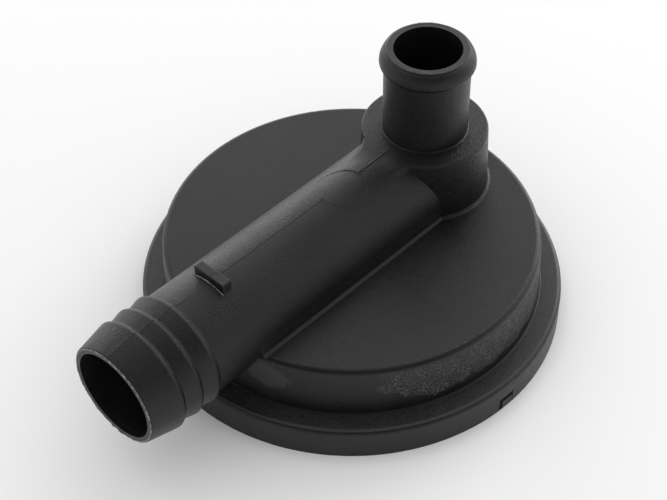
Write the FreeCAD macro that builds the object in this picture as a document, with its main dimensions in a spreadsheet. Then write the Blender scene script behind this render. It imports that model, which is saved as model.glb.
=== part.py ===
import FreeCAD, Part
import math
import os
import re

import Sketcher

# Crankcase pressure regulating valve, built from five pieces.
# A drum-shaped upper housing holds a rubber diaphragm and its support plate over a pressed-in cover.
# The origin is on the drum's axis, level with the lower edge of the skirt, and +Z points up.
# The barbed side pipe points to -X, and the boss with the top pipe stands on the +X side.
# All sizes are in millimetres and degrees.

SIZES = {
    # bottom cover, pressed into the skirt from below
    "cover_height": 4.0,
    "cover_floor": 1.6,
    "cover_gap": 0.15,
    "cover_ring_width": 4.3,
    "cover_channel_width": 1.5,
    "cover_channel_roof": 1.6,
    "stop_height": 0.4,
    "stop_width": 1.2,
    "stop_start": 5.0,
    "stop_margin": 3.0,
    "vent_radius": 1.2,
    "vent_offset": 19.0,
    # notches in the skirt, the cover's tabs in them, and the snap bead above them
    "notch_angle": -92.5,
    "notch_width": 4.1,
    "notch_height": 3.3,
    "tab_gap": 0.25,
    "tab_top_gap": 0.5,
    "tab_setback": 0.05,
    "snap_drop": 0.7,
    "snap_depth": 0.35,
    "snap_half_width": 0.45,
    "snap_clearance": 0.15,
    # diaphragm
    "rubber_thickness": 0.7,
    "rim_bead_height": 1.4,
    "rim_bead_width": 3.9,
    "rim_gap": 0.2,
    "web_width": 4.3,
    "fold_width": 6.4,
    "fold_gap": 0.3,
    # support plate
    "plate_thickness": 1.5,
    "plate_rim_width": 1.2,
    "plate_rim_height": 1.4,
    "plate_rib_height": 0.9,
    "guide_width": 1.1,
    "guide_height": 1.1,
    # valve seat, and how far the plate travels to it
    "valve_lift": 3.7,
    "seat_gap": 0.15,
    "seat_length": 2.85,
    "seat_bore_radius": 7.5,
    "seat_wall": 2.0,
    # pressure spring, and the ribs that it bears on
    "wire_radius": 0.45,
    "coil_turns": 3.0,
    "coil_seat_gap": 2.25,
    "coil_side_gap": 0.35,
    "coil_end_gap": 0.05,
    "spring_rib_thickness": 1.5,
    "spring_rib_overhang": 1.85,
    # barbed side pipe
    "side_bore_radius": 9.5,
    "side_wall": 1.9,
    "side_end_margin": 0.5,
    "side_end_wall": 1.9,
    "side_overhang": 25.8,
    "side_foot_spread": 0.25,
    "side_foot_round": 0.8,
    "mouth_wall": 1.3,
    "mouth_edge_round": 0.35,
    "barb_rise": 0.85,
    "barb_lead_in": 7.0,
    "barb_spacing": 4.45,
    "barb_step_length": 1.1,
    "barb_round": 0.8,
    # bar across the side pipe that shows the fitter which way is up
    "bar_setback": 9.75,
    "bar_width": 2.1,
    "bar_length": 8.0,
    "bar_height": 1.5,
    "bar_round": 0.2,
    # top pipe
    "top_bore_radius": 7.1,
    "top_wall": 1.9,
    "top_pipe_length": 20.15,
    "top_foot_round": 0.3,
    "bead_length": 4.0,
    "bead_nose": 3.0,
    "bead_rise": 0.95,
    "top_mouth_wall": 1.3,
    # boss under the top pipe
    "boss_shoulder": 4.4,
    "boss_draft": 0.5,
    "boss_wall": 2.0,
    "boss_rise": 0.05,
    "boss_edge_round": 0.5,
    "boss_foot_round": 0.8,
    "passage_gap": 0.8,
    # fairing that carries the side pipe's crest on to the boss
    "fairing_length": 5.2,
    "fairing_bite": 1.8,
    "fairing_flat": 3.6,
    "fairing_foot": 7.4,
    "fairing_depth": 0.05,
    # drum and flange
    "drum_margin": 2.4,
    "drum_draft": 0.6,
    "drum_wall": 2.0,
    "drum_edge_round": 1.2,
    "drum_foot_round": 0.4,
    "roof_thickness": 2.0,
    "roof_drop": 3.0,
    "crest_wall": 2.4,
    "ledge_width": 4.7,
    "ledge_thickness": 2.0,
    "skirt_wall": 2.0,
    "flange_edge_round": 1.2,
}

BARB_COUNT = 3
TAB_COUNT = 3
RIB_COUNT = 6
PARTS_FOLDER = "parts"

# Everything below is a formula of the sizes above.
# Heights are stacked from the cover's underside: plate and seat, side pipe over them, boss and top pipe.
PLATE_UNDERSIDE = "(cover_floor + stop_height + rubber_thickness)"
PLATE_TOP = f"({PLATE_UNDERSIDE} + plate_thickness)"
SEAT_HEIGHT = f"({PLATE_TOP} + valve_lift + seat_gap)"
SPRING_CEILING = f"({SEAT_HEIGHT} + seat_length)"
SIDE_PIPE_RADIUS = "(side_bore_radius + side_wall)"
SIDE_AXIS_HEIGHT = f"({SPRING_CEILING} + {SIDE_PIPE_RADIUS})"
PIPE_CREST = f"({SIDE_AXIS_HEIGHT} + {SIDE_PIPE_RADIUS})"
DRUM_HEIGHT = f"({SIDE_AXIS_HEIGHT} - roof_drop)"
ROOF_UNDERSIDE = f"({DRUM_HEIGHT} - roof_thickness)"
LEDGE_UNDERSIDE = "(cover_height + rim_bead_height)"
FLANGE_HEIGHT = f"({LEDGE_UNDERSIDE} + ledge_thickness)"
BOSS_HEIGHT = f"({PIPE_CREST} + boss_rise)"
TOP_REACH = f"({BOSS_HEIGHT} + top_pipe_length)"
BEAD_MIDDLE = f"({TOP_REACH} - bead_nose)"
SNAP_HEIGHT = "(cover_height - snap_drop)"

# The side pipe ends just past the seat, the boss stands behind its end wall, and the drum is as
# wide as the boss on its roof needs. The flange, the cover and the diaphragm follow the drum.
SEAT_OUTER_RADIUS = "(seat_bore_radius + seat_wall)"
COIL_RADIUS = f"({SEAT_OUTER_RADIUS} + coil_seat_gap + wire_radius)"
GUIDE_RADIUS = f"({COIL_RADIUS} + wire_radius + coil_side_gap)"
SIDE_BORE_END = "(seat_bore_radius + side_end_margin)"
SIDE_PIPE_END = f"({SIDE_BORE_END} + side_end_wall)"
TOP_PIPE_RADIUS = "(top_bore_radius + top_wall)"
BOSS_TOP_RADIUS = f"({TOP_PIPE_RADIUS} + boss_shoulder)"
BOSS_FOOT_RADIUS = f"({BOSS_TOP_RADIUS} + boss_draft)"
BOSS_OFFSET = f"({SIDE_PIPE_END} + passage_gap + {BOSS_FOOT_RADIUS} - boss_wall)"
DRUM_TOP_RADIUS = f"({BOSS_OFFSET} + {BOSS_FOOT_RADIUS} + boss_foot_round + drum_margin)"
DRUM_FOOT_RADIUS = f"({DRUM_TOP_RADIUS} + drum_draft)"
SKIRT_RADIUS = f"({DRUM_FOOT_RADIUS} + ledge_width)"
SKIRT_INSIDE = f"({SKIRT_RADIUS} - skirt_wall)"
COVER_RADIUS = f"({SKIRT_INSIDE} - cover_gap)"
RIM_OUTER = f"({SKIRT_INSIDE} - rim_gap)"
RIM_INNER = f"({RIM_OUTER} - rim_bead_width)"
FOLD_OUTER = f"({RIM_INNER} - web_width)"
FOLD_INNER = f"({FOLD_OUTER} - fold_width)"
PLATE_RADIUS = f"({FOLD_INNER} - fold_gap)"

# Distances along the side pipe, from the drum's axis.
SIDE_REACH = f"({DRUM_TOP_RADIUS} + side_overhang)"
BARB_CREST_RADIUS = f"({SIDE_PIPE_RADIUS} + barb_rise)"
MOUTH_RADIUS = "(side_bore_radius + mouth_wall)"
BARBED_LENGTH = f"(barb_lead_in + {BARB_COUNT - 1} * barb_spacing + barb_step_length)"
BARBS_START = f"({SIDE_REACH} - {BARBED_LENGTH})"
BAR_POSITION = f"({BARBS_START} - bar_setback)"

doc = FreeCAD.newDocument("pressure_valve")
sheet = doc.addObject("Spreadsheet::Sheet", "Sizes")
for row, (alias, amount) in enumerate(SIZES.items(), start=1):
    sheet.set(f"A{row}", alias)
    sheet.set(f"B{row}", str(amount))
    sheet.setAlias(f"B{row}", alias)
doc.recompute()


def formula(text):
    """The text with every size name pointing at its cell in the sheet."""
    return re.sub(r"[a-z_]+", lambda word: prefixed(word.group()), text)


def prefixed(word):
    return "Sizes." + word if word in SIZES else word


def number(text):
    """What a formula gives now."""
    value = sheet.evalExpression(formula(text))
    return float(getattr(value, "Value", value))


def bind(thing, prop, text):
    thing.setExpression(prop, formula(text))


def new_body(name):
    body = doc.addObject("PartDesign::Body", name)
    body.Label = name
    body.Placement = FreeCAD.Placement()
    return body


def origin_feature(body, role):
    return next(item for item in body.Origin.OriginFeatures if item.Role == role)


def new_sketch(body, name, plane, shift=("0", "0", "0"), turn=None):
    """A sketch on one of the body's origin planes, shifted in the plane's own X, Y and normal."""
    sketch = body.newObject("Sketcher::SketchObject", name)
    sketch.AttachmentSupport = [(origin_feature(body, plane), "")]
    sketch.MapMode = "FlatFace"
    base = FreeCAD.Vector(*[number(text) for text in shift])
    angle = number(turn) if turn else 0.0
    rotation = FreeCAD.Rotation(FreeCAD.Vector(0, 0, 1), angle)
    sketch.AttachmentOffset = FreeCAD.Placement(base, rotation)
    for letter, text in zip("xyz", shift):
        bind(sketch, f"AttachmentOffset.Base.{letter}", text)
    if turn:
        bind(sketch, "AttachmentOffset.Rotation.Angle", turn)
    return sketch


def pin_coordinate(sketch, geometry, position, kind, axis, text):
    """Ties one coordinate of a point to a formula, or puts the point on the axis where it is 0."""
    if text == "0":
        sketch.addConstraint(Sketcher.Constraint("PointOnObject", geometry, position, axis))
    else:
        index = sketch.addConstraint(
            Sketcher.Constraint(kind, -1, 1, geometry, position, number(text))
        )
        bind(sketch, f"Constraints[{index}]", text)


def pin_point(sketch, geometry, position, x, y):
    pin_coordinate(sketch, geometry, position, "DistanceX", -2, x)
    pin_coordinate(sketch, geometry, position, "DistanceY", -1, y)


def arc_between(start, end, centre_height, side):
    """An arc whose centre lies at this height; it bulges to the left (1) or right (-1) of its way."""
    chord = end - start
    across = FreeCAD.Vector(-chord.y, chord.x, 0)
    middle = (start + end) / 2
    centre = middle + across * ((centre_height - middle.y) / across.y)
    radius = centre.distanceToPoint(start)
    return Part.Arc(start, centre + across.normalize() * side * radius, end)


def draw_outline(sketch, corners, arcs=None):
    """A closed outline through the corners.

    arcs maps the corner that an arc starts from to the height of its centre and the side it bulges to.
    """
    arcs = arcs or {}
    spots = [FreeCAD.Vector(number(x), number(y), 0) for x, y in corners]
    first = sketch.GeometryCount
    count = len(corners)
    ends = []
    for index in range(count):
        start = spots[index]
        end = spots[(index + 1) % count]
        if index in arcs:
            centre_height, side = arcs[index]
            curve = arc_between(start, end, number(centre_height), side)
            drawn = sketch.addGeometry(curve)
            flipped = sketch.getPoint(drawn, 1).distanceToPoint(start) > 1e-6
            ends.append((2, 1) if flipped else (1, 2))
        else:
            sketch.addGeometry(Part.LineSegment(start, end))
            ends.append((1, 2))
    for index in range(count):
        after = (index + 1) % count
        sketch.addConstraint(
            Sketcher.Constraint(
                "Coincident", first + index, ends[index][1], first + after, ends[after][0]
            )
        )
    for index, (x, y) in enumerate(corners):
        pin_point(sketch, first + index, ends[index][0], x, y)
    for index, (centre_height, _) in arcs.items():
        pin_coordinate(sketch, first + index, 3, "DistanceY", -1, centre_height)


def draw_rectangle(sketch, left, right, low, high):
    draw_outline(sketch, [(left, low), (right, low), (right, high), (left, high)])


def draw_circle(sketch, radius, x="0", y="0"):
    centre = FreeCAD.Vector(number(x), number(y), 0)
    circle = sketch.addGeometry(
        Part.Circle(centre, FreeCAD.Vector(0, 0, 1), number(radius))
    )
    pin_point(sketch, circle, 3, x, y)
    index = sketch.addConstraint(Sketcher.Constraint("Radius", circle, number(radius)))
    bind(sketch, f"Constraints[{index}]", radius)


def extrude(body, kind, name, sketch, length, backwards=False):
    """A Pad or a Pocket of the sketch along its normal, or against it when backwards."""
    feature = body.newObject("PartDesign::" + kind, name)
    feature.Profile = sketch
    feature.Length = number(length)
    bind(feature, "Length", length)
    feature.Reversed = backwards
    doc.recompute()
    return feature


def turn_round(body, kind, name, sketch, axis):
    """A Revolution or a Groove of the sketch, all the way round one of its own axes."""
    feature = body.newObject("PartDesign::" + kind, name)
    feature.Profile = sketch
    feature.ReferenceAxis = (sketch, [axis])
    feature.Angle = 360.0
    doc.recompute()
    return feature


def repeat_round(body, name, feature, count):
    """Equal copies of the feature round the drum's axis."""
    pattern = body.newObject("PartDesign::PolarPattern", name)
    pattern.Originals = [feature]
    pattern.Axis = (origin_feature(body, "Z_Axis"), [""])
    pattern.Angle = 360.0
    pattern.Occurrences = count
    body.Tip = pattern
    doc.recompute()
    return pattern


def round_edges(body, name, base, wanted, radius):
    """A Fillet on those edges of the base for which wanted is true."""
    names = [
        f"Edge{index}"
        for index, edge in enumerate(base.Shape.Edges, start=1)
        if wanted(edge)
    ]
    if not names:
        raise RuntimeError(f"{name} found no edges")
    feature = body.newObject("PartDesign::Fillet", name)
    feature.Base = (base, names)
    feature.Radius = number(radius)
    bind(feature, "Radius", radius)
    doc.recompute()
    return feature


def near(value, text):
    return abs(value - number(text)) < 0.01


def is_ring(edge, radius, z):
    """True for an arc or circle round the drum's axis with this radius and height."""
    if not isinstance(edge.Curve, Part.Circle):
        return False
    centre = edge.Curve.Center
    on_axis = math.hypot(centre.x, centre.y) < 0.01
    return on_axis and near(edge.Curve.Radius, radius) and near(centre.z, z)


def is_barb_ring(edge, radius, x):
    """True for a circle round the side pipe's axis with this radius, this far out."""
    if not isinstance(edge.Curve, Part.Circle):
        return False
    centre = edge.Curve.Center
    on_axis = near(centre.z, SIDE_AXIS_HEIGHT) and abs(centre.y) < 0.01
    return on_axis and near(edge.Curve.Radius, radius) and near(-centre.x, x)


def barb_crest(index):
    """How far from the drum's axis a barb's crest lies, counted from the mouth."""
    return f"{SIDE_REACH} - barb_lead_in - {index} * barb_spacing"


def make_upper_housing():
    body = new_body("upper_housing")

    # Drum, flange and skirt: one revolved wall, open at the bottom.
    profile = new_sketch(body, "drum_profile", "XZ_Plane")
    draw_outline(
        profile,
        [
            ("0", ROOF_UNDERSIDE),
            (f"{DRUM_TOP_RADIUS} - drum_wall", ROOF_UNDERSIDE),
            (f"{DRUM_FOOT_RADIUS} - drum_wall", LEDGE_UNDERSIDE),
            (SKIRT_INSIDE, LEDGE_UNDERSIDE),
            (SKIRT_INSIDE, "0"),
            (SKIRT_RADIUS, "0"),
            (SKIRT_RADIUS, FLANGE_HEIGHT),
            (DRUM_FOOT_RADIUS, FLANGE_HEIGHT),
            (DRUM_TOP_RADIUS, DRUM_HEIGHT),
            ("0", DRUM_HEIGHT),
        ],
    )
    shell = turn_round(body, "Revolution", "drum", profile, "V_Axis")

    rounded = round_edges(
        body,
        "flange_edge",
        shell,
        lambda edge: is_ring(edge, SKIRT_RADIUS, FLANGE_HEIGHT),
        "flange_edge_round",
    )
    rounded = round_edges(
        body,
        "drum_edge",
        rounded,
        lambda edge: is_ring(edge, DRUM_TOP_RADIUS, DRUM_HEIGHT),
        "drum_edge_round",
    )

    round_edges(
        body,
        "drum_foot",
        rounded,
        lambda edge: is_ring(edge, DRUM_FOOT_RADIUS, FLANGE_HEIGHT),
        "drum_foot_round",
    )

    # Side pipe: a plain tube from the last barb to just past the valve seat.
    ring = new_sketch(body, "side_pipe_ring", "YZ_Plane", ("0", SIDE_AXIS_HEIGHT, SIDE_PIPE_END))
    draw_circle(ring, SIDE_PIPE_RADIUS)
    extrude(body, "Pad", "side_pipe", ring, f"{SIDE_PIPE_END} + {BARBS_START}", backwards=True)

    # Over the drum the pipe stands on upright walls that end at the drum's own curve.
    saddle = new_sketch(body, "saddle_section", "YZ_Plane", ("0", "0", BOSS_OFFSET))
    wall = f"({SIDE_PIPE_RADIUS} + side_foot_spread)"
    foot = f"({SIDE_PIPE_RADIUS} + side_foot_spread + side_foot_round)"
    draw_outline(
        saddle,
        [
            (f"-{foot}", ROOF_UNDERSIDE),
            (foot, ROOF_UNDERSIDE),
            (foot, DRUM_HEIGHT),
            (wall, f"{DRUM_HEIGHT} + side_foot_round"),
            (SIDE_PIPE_RADIUS, SIDE_AXIS_HEIGHT),
            (f"-{SIDE_PIPE_RADIUS}", SIDE_AXIS_HEIGHT),
            (f"-{wall}", f"{DRUM_HEIGHT} + side_foot_round"),
            (f"-{foot}", DRUM_HEIGHT),
        ],
        {2: (f"{DRUM_HEIGHT} + side_foot_round", 1), 6: (f"{DRUM_HEIGHT} + side_foot_round", 1)},
    )
    saddle_reach = f"sqrt({DRUM_TOP_RADIUS}^2 - {foot}^2)"
    extrude(body, "Pad", "saddle", saddle, f"{BOSS_OFFSET} + {saddle_reach}", backwards=True)
    crest_ring = new_sketch(
        body, "crest_ring", "YZ_Plane", ("0", SIDE_AXIS_HEIGHT, BOSS_OFFSET)
    )
    draw_outline(
        crest_ring,
        [(f"-{SIDE_PIPE_RADIUS}", "0"), (SIDE_PIPE_RADIUS, "0")],
        {1: ("0", -1)},
    )
    crest_length = f"{BOSS_OFFSET} - {SIDE_PIPE_END}"
    extrude(body, "Pad", "pipe_crest", crest_ring, crest_length, backwards=True)

    # Barbed nose: each barb rises gently towards the drum and drops at a short step.
    nose = new_sketch(body, "nose_profile", "XZ_Plane", ("0", SIDE_AXIS_HEIGHT, "0"))
    corners = [(f"-{BARBS_START}", "0"), (f"-{BARBS_START}", SIDE_PIPE_RADIUS)]
    for index in reversed(range(BARB_COUNT)):
        corners.append((f"-({barb_crest(index)})", BARB_CREST_RADIUS))
        if index:
            foot = f"-({barb_crest(index - 1)} - barb_step_length)"
            corners.append((foot, SIDE_PIPE_RADIUS))
    corners += [(f"-{SIDE_REACH}", MOUTH_RADIUS), (f"-{SIDE_REACH}", "0")]
    draw_outline(nose, corners)
    barbs = turn_round(body, "Revolution", "barbed_nose", nose, "H_Axis")
    barbs = round_edges(
        body,
        "barb_crests",
        barbs,
        lambda edge: any(
            is_barb_ring(edge, BARB_CREST_RADIUS, barb_crest(index))
            for index in range(BARB_COUNT)
        ),
        "barb_round",
    )
    round_edges(
        body,
        "mouth_edge",
        barbs,
        lambda edge: is_barb_ring(edge, MOUTH_RADIUS, SIDE_REACH),
        "mouth_edge_round",
    )

    # Boss and top pipe with its bead: one revolved form.
    port = new_sketch(body, "port_profile", "XZ_Plane", (BOSS_OFFSET, "0", "0"))
    draw_outline(
        port,
        [
            ("0", ROOF_UNDERSIDE),
            (f"{BOSS_FOOT_RADIUS} + boss_foot_round", ROOF_UNDERSIDE),
            (f"{BOSS_FOOT_RADIUS} + boss_foot_round", DRUM_HEIGHT),
            (BOSS_FOOT_RADIUS, f"{DRUM_HEIGHT} + boss_foot_round"),
            (BOSS_TOP_RADIUS, f"{BOSS_HEIGHT} - boss_edge_round"),
            (f"{BOSS_TOP_RADIUS} - boss_edge_round", BOSS_HEIGHT),
            (f"{TOP_PIPE_RADIUS} + top_foot_round", BOSS_HEIGHT),
            (TOP_PIPE_RADIUS, f"{BOSS_HEIGHT} + top_foot_round"),
            (TOP_PIPE_RADIUS, f"{TOP_REACH} - bead_length"),
            (f"{TOP_PIPE_RADIUS} + bead_rise", BEAD_MIDDLE),
            ("top_bore_radius + top_mouth_wall", TOP_REACH),
            ("0", TOP_REACH),
        ],
        {
            2: (f"{DRUM_HEIGHT} + boss_foot_round", 1),
            4: (f"{BOSS_HEIGHT} - boss_edge_round", -1),
            6: (f"{BOSS_HEIGHT} + top_foot_round", 1),
            8: (BEAD_MIDDLE, -1),
            9: (BEAD_MIDDLE, -1),
        },
    )
    turn_round(body, "Revolution", "boss_and_top_pipe", port, "V_Axis")
    add_fairing(body)

    # Bar on the side pipe.
    bar = new_sketch(body, "bar_outline", "XY_Plane", ("0", "0", SIDE_AXIS_HEIGHT))
    draw_rectangle(
        bar,
        f"-{BAR_POSITION} - bar_width / 2",
        f"-{BAR_POSITION} + bar_width / 2",
        "-bar_length / 2",
        "bar_length / 2",
    )
    bar_pad = extrude(body, "Pad", "bar", bar, f"{SIDE_PIPE_RADIUS} + bar_height")
    round_edges(
        body,
        "bar_edges",
        bar_pad,
        lambda edge: near(edge.BoundBox.ZMin, f"{PIPE_CREST} + bar_height"),
        "bar_round",
    )

    # Seat tube, which the side pipe opens into, and the ribs around it.
    seat = new_sketch(body, "seat_ring", "XY_Plane", ("0", "0", SEAT_HEIGHT))
    draw_circle(seat, SEAT_OUTER_RADIUS)
    extrude(body, "Pad", "seat_tube", seat, f"{SIDE_AXIS_HEIGHT} - {SEAT_HEIGHT}")
    rib = new_sketch(
        body, "rib_outline", "XY_Plane", ("0", "0", SPRING_CEILING), f"{180 / RIB_COUNT}"
    )
    draw_rectangle(
        rib,
        f"{SEAT_OUTER_RADIUS} - spring_rib_thickness",
        f"{COIL_RADIUS} + wire_radius + spring_rib_overhang",
        "-spring_rib_thickness / 2",
        "spring_rib_thickness / 2",
    )
    rib_pad = extrude(
        body, "Pad", "spring_rib", rib, f"{ROOF_UNDERSIDE} + roof_thickness / 2 - {SPRING_CEILING}"
    )
    repeat_round(body, "spring_ribs", rib_pad, RIB_COUNT)

    # Bores: the side bore, the passage from the chamber up into the top pipe, and the seat.
    bore = new_sketch(body, "side_bore_ring", "YZ_Plane", ("0", SIDE_AXIS_HEIGHT, SIDE_BORE_END))
    draw_circle(bore, "side_bore_radius")
    extrude(body, "Pocket", "side_bore", bore, f"{SIDE_BORE_END} + {SIDE_REACH} + 1")
    core = new_sketch(body, "crest_core_section", "YZ_Plane", ("0", "0", SIDE_PIPE_END))
    core_radius = f"({SIDE_PIPE_RADIUS} - crest_wall)"
    draw_outline(
        core,
        [
            (f"-{core_radius}", ROOF_UNDERSIDE),
            (core_radius, ROOF_UNDERSIDE),
            (core_radius, SIDE_AXIS_HEIGHT),
            (f"-{core_radius}", SIDE_AXIS_HEIGHT),
        ],
        {2: (SIDE_AXIS_HEIGHT, -1)},
    )
    extrude(body, "Pocket", "crest_core", core, crest_length, backwards=True)
    passage = new_sketch(body, "passage_profile", "XZ_Plane", (BOSS_OFFSET, "0", "0"))
    draw_outline(
        passage,
        [
            ("0", ROOF_UNDERSIDE),
            (f"{BOSS_FOOT_RADIUS} - boss_wall", ROOF_UNDERSIDE),
            (f"{BOSS_TOP_RADIUS} - boss_wall", f"{BOSS_HEIGHT} - boss_wall"),
            ("top_bore_radius", f"{BOSS_HEIGHT} - boss_wall"),
            ("top_bore_radius", f"{TOP_REACH} + 1"),
            ("0", f"{TOP_REACH} + 1"),
        ],
    )
    turn_round(body, "Groove", "top_passage", passage, "V_Axis")
    opening = new_sketch(body, "seat_opening", "XY_Plane", ("0", "0", SEAT_HEIGHT))
    draw_circle(opening, "seat_bore_radius")
    extrude(
        body, "Pocket", "seat_bore", opening, f"{SIDE_AXIS_HEIGHT} - {SEAT_HEIGHT}", backwards=True
    )

    # Notches for the cover's tabs, and the groove that the cover snaps into.
    notch = new_sketch(body, "notch_outline", "XY_Plane", turn="notch_angle")
    draw_rectangle(
        notch,
        f"{SKIRT_INSIDE} - skirt_wall / 2",
        f"{SKIRT_RADIUS} + skirt_wall / 2",
        "-notch_width / 2",
        "notch_width / 2",
    )
    notch_cut = extrude(body, "Pocket", "notch", notch, "notch_height", backwards=True)
    repeat_round(body, "notches", notch_cut, TAB_COUNT)
    snap = new_sketch(body, "snap_groove_profile", "XZ_Plane", ("0", SNAP_HEIGHT, "0"))
    draw_snap(snap, SKIRT_INSIDE, "(snap_half_width + snap_clearance)")
    turn_round(body, "Groove", "snap_groove", snap, "V_Axis")
    return body


def add_fairing(body):
    """A cap over the pipe's crest that grows out of its round top and ends flat in the boss."""
    rim = f"({BOSS_OFFSET} - {BOSS_TOP_RADIUS})"
    crest_heights = [pipe_top_height("fairing_flat"), PIPE_CREST]
    stations = [f"{rim} - fairing_length", f"{rim} + fairing_bite"]
    foot_height = pipe_top_height("fairing_foot")
    sections = []
    for index in range(2):
        name = f"fairing_section_{index + 1}"
        section = new_sketch(body, name, "YZ_Plane", ("0", "0", stations[index]))
        draw_outline(
            section,
            [
                ("-fairing_foot", SIDE_AXIS_HEIGHT),
                ("fairing_foot", SIDE_AXIS_HEIGHT),
                ("fairing_foot", foot_height),
                ("fairing_flat", crest_heights[index]),
                ("-fairing_flat", crest_heights[index]),
                ("-fairing_foot", foot_height),
            ],
        )
        sections.append(section)
    fairing = body.newObject("PartDesign::AdditiveLoft", "fairing")
    fairing.Profile = sections[0]
    fairing.Sections = [sections[1]]
    fairing.Ruled = True
    doc.recompute()


def pipe_top_height(offset):
    """Just under the side pipe's outer surface, this far to one side of its crest."""
    return f"({SIDE_AXIS_HEIGHT} + sqrt({SIDE_PIPE_RADIUS}^2 - {offset}^2) - fairing_depth)"


def draw_snap(sketch, radius, half_width):
    """The section of the snap bead or groove, standing out from the given radius."""
    draw_outline(
        sketch,
        [
            (f"{radius} - snap_depth", f"-{half_width}"),
            (radius, f"-{half_width}"),
            (f"{radius} + snap_depth", f"-{half_width} / 3"),
            (f"{radius} + snap_depth", f"{half_width} / 3"),
            (radius, half_width),
            (f"{radius} - snap_depth", half_width),
        ],
    )


def make_bottom_cover():
    body = new_body("bottom_cover")

    # Floor and the ring that clamps the diaphragm's rim.
    profile = new_sketch(body, "cover_profile", "XZ_Plane")
    draw_outline(
        profile,
        [
            ("0", "0"),
            (COVER_RADIUS, "0"),
            (COVER_RADIUS, "cover_height"),
            (f"{COVER_RADIUS} - cover_ring_width", "cover_height"),
            (f"{COVER_RADIUS} - cover_ring_width", "cover_floor"),
            ("0", "cover_floor"),
        ],
    )
    turn_round(body, "Revolution", "cover_disc", profile, "V_Axis")
    snap = new_sketch(body, "snap_bead_profile", "XZ_Plane", ("0", SNAP_HEIGHT, "0"))
    draw_snap(snap, COVER_RADIUS, "snap_half_width")
    turn_round(body, "Revolution", "snap_bead", snap, "V_Axis")

    # The thick ring is cored by a channel from below.
    channel = new_sketch(body, "channel_profile", "XZ_Plane")
    centre = f"({COVER_RADIUS} - cover_ring_width / 2)"
    draw_rectangle(
        channel,
        f"{centre} - cover_channel_width / 2",
        f"{centre} + cover_channel_width / 2",
        "0",
        "cover_height - cover_channel_roof",
    )
    turn_round(body, "Groove", "cover_channel", channel, "V_Axis")

    # Tabs that fill the notches of the skirt.
    tab = new_sketch(body, "tab_outline", "XY_Plane", turn="notch_angle")
    draw_rectangle(
        tab,
        f"{COVER_RADIUS} - cover_gap",
        f"{SKIRT_RADIUS} - tab_setback",
        "-notch_width / 2 + tab_gap",
        "notch_width / 2 - tab_gap",
    )
    tab_pad = extrude(body, "Pad", "tab", tab, "notch_height - tab_top_gap")
    repeat_round(body, "tabs", tab_pad, TAB_COUNT)

    # Low bars that the middle of the diaphragm rests on, so that air reaches all of its underside.
    stop = new_sketch(body, "stop_outline", "XY_Plane", ("0", "0", "cover_floor"))
    stop_end = f"{PLATE_RADIUS} - stop_margin"
    draw_rectangle(stop, "stop_start", stop_end, "-stop_width / 2", "stop_width / 2")
    stop_pad = extrude(body, "Pad", "stop_bar", stop, "stop_height")
    repeat_round(body, "stop_bars", stop_pad, RIB_COUNT)

    # Vent hole between two of the bars.
    vent = new_sketch(body, "vent_ring", "XY_Plane", ("0", "0", "0"), f"{180 / RIB_COUNT}")
    draw_circle(vent, "vent_radius", "vent_offset")
    extrude(body, "Pocket", "vent", vent, "cover_floor + stop_height", backwards=True)
    return body


def make_diaphragm():
    body = new_body("diaphragm")
    disc_low = "(cover_floor + stop_height)"
    web_low = "(cover_height + (rim_bead_height - rubber_thickness) / 2)"

    # One skin: middle disc, round fold that lets it travel, flat web and clamped rim bead.
    profile = new_sketch(body, "skin_profile", "XZ_Plane")
    draw_outline(
        profile,
        [
            ("0", disc_low),
            (f"{FOLD_INNER} + rubber_thickness", disc_low),
            (f"{FOLD_INNER} + rubber_thickness", LEDGE_UNDERSIDE),
            (f"{FOLD_OUTER} - rubber_thickness", LEDGE_UNDERSIDE),
            (f"{FOLD_OUTER} - rubber_thickness", web_low),
            (RIM_INNER, web_low),
            (RIM_INNER, "cover_height"),
            (RIM_OUTER, "cover_height"),
            (RIM_OUTER, LEDGE_UNDERSIDE),
            (RIM_INNER, LEDGE_UNDERSIDE),
            (RIM_INNER, f"{web_low} + rubber_thickness"),
            (FOLD_OUTER, f"{web_low} + rubber_thickness"),
            (FOLD_OUTER, LEDGE_UNDERSIDE),
            (FOLD_INNER, LEDGE_UNDERSIDE),
            (FOLD_INNER, PLATE_UNDERSIDE),
            ("0", PLATE_UNDERSIDE),
        ],
        {2: (LEDGE_UNDERSIDE, 1), 12: (LEDGE_UNDERSIDE, -1)},
    )
    turn_round(body, "Revolution", "skin", profile, "V_Axis")
    return body


def make_support_plate():
    body = new_body("support_plate")
    guide_outer = f"({GUIDE_RADIUS} + guide_width)"
    rim_inner = f"({PLATE_RADIUS} - plate_rim_width)"

    # Disc with a stiff rim and a ring that keeps the spring in the middle.
    profile = new_sketch(body, "plate_profile", "XZ_Plane")
    draw_outline(
        profile,
        [
            ("0", PLATE_UNDERSIDE),
            (PLATE_RADIUS, PLATE_UNDERSIDE),
            (PLATE_RADIUS, f"{PLATE_TOP} + plate_rim_height"),
            (rim_inner, f"{PLATE_TOP} + plate_rim_height"),
            (rim_inner, PLATE_TOP),
            (guide_outer, PLATE_TOP),
            (guide_outer, f"{PLATE_TOP} + guide_height"),
            (GUIDE_RADIUS, f"{PLATE_TOP} + guide_height"),
            (GUIDE_RADIUS, PLATE_TOP),
            ("0", PLATE_TOP),
        ],
    )
    turn_round(body, "Revolution", "plate_disc", profile, "V_Axis")

    # Ribs from the spring's ring out to the rim.
    rib = new_sketch(body, "plate_rib_outline", "XY_Plane", ("0", "0", PLATE_TOP))
    draw_rectangle(
        rib,
        f"{guide_outer} - guide_width / 2",
        f"{rim_inner} + plate_rim_width / 2",
        "-guide_width / 2",
        "guide_width / 2",
    )
    rib_pad = extrude(body, "Pad", "plate_rib", rib, "plate_rib_height")
    repeat_round(body, "plate_ribs", rib_pad, RIB_COUNT)
    return body


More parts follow.
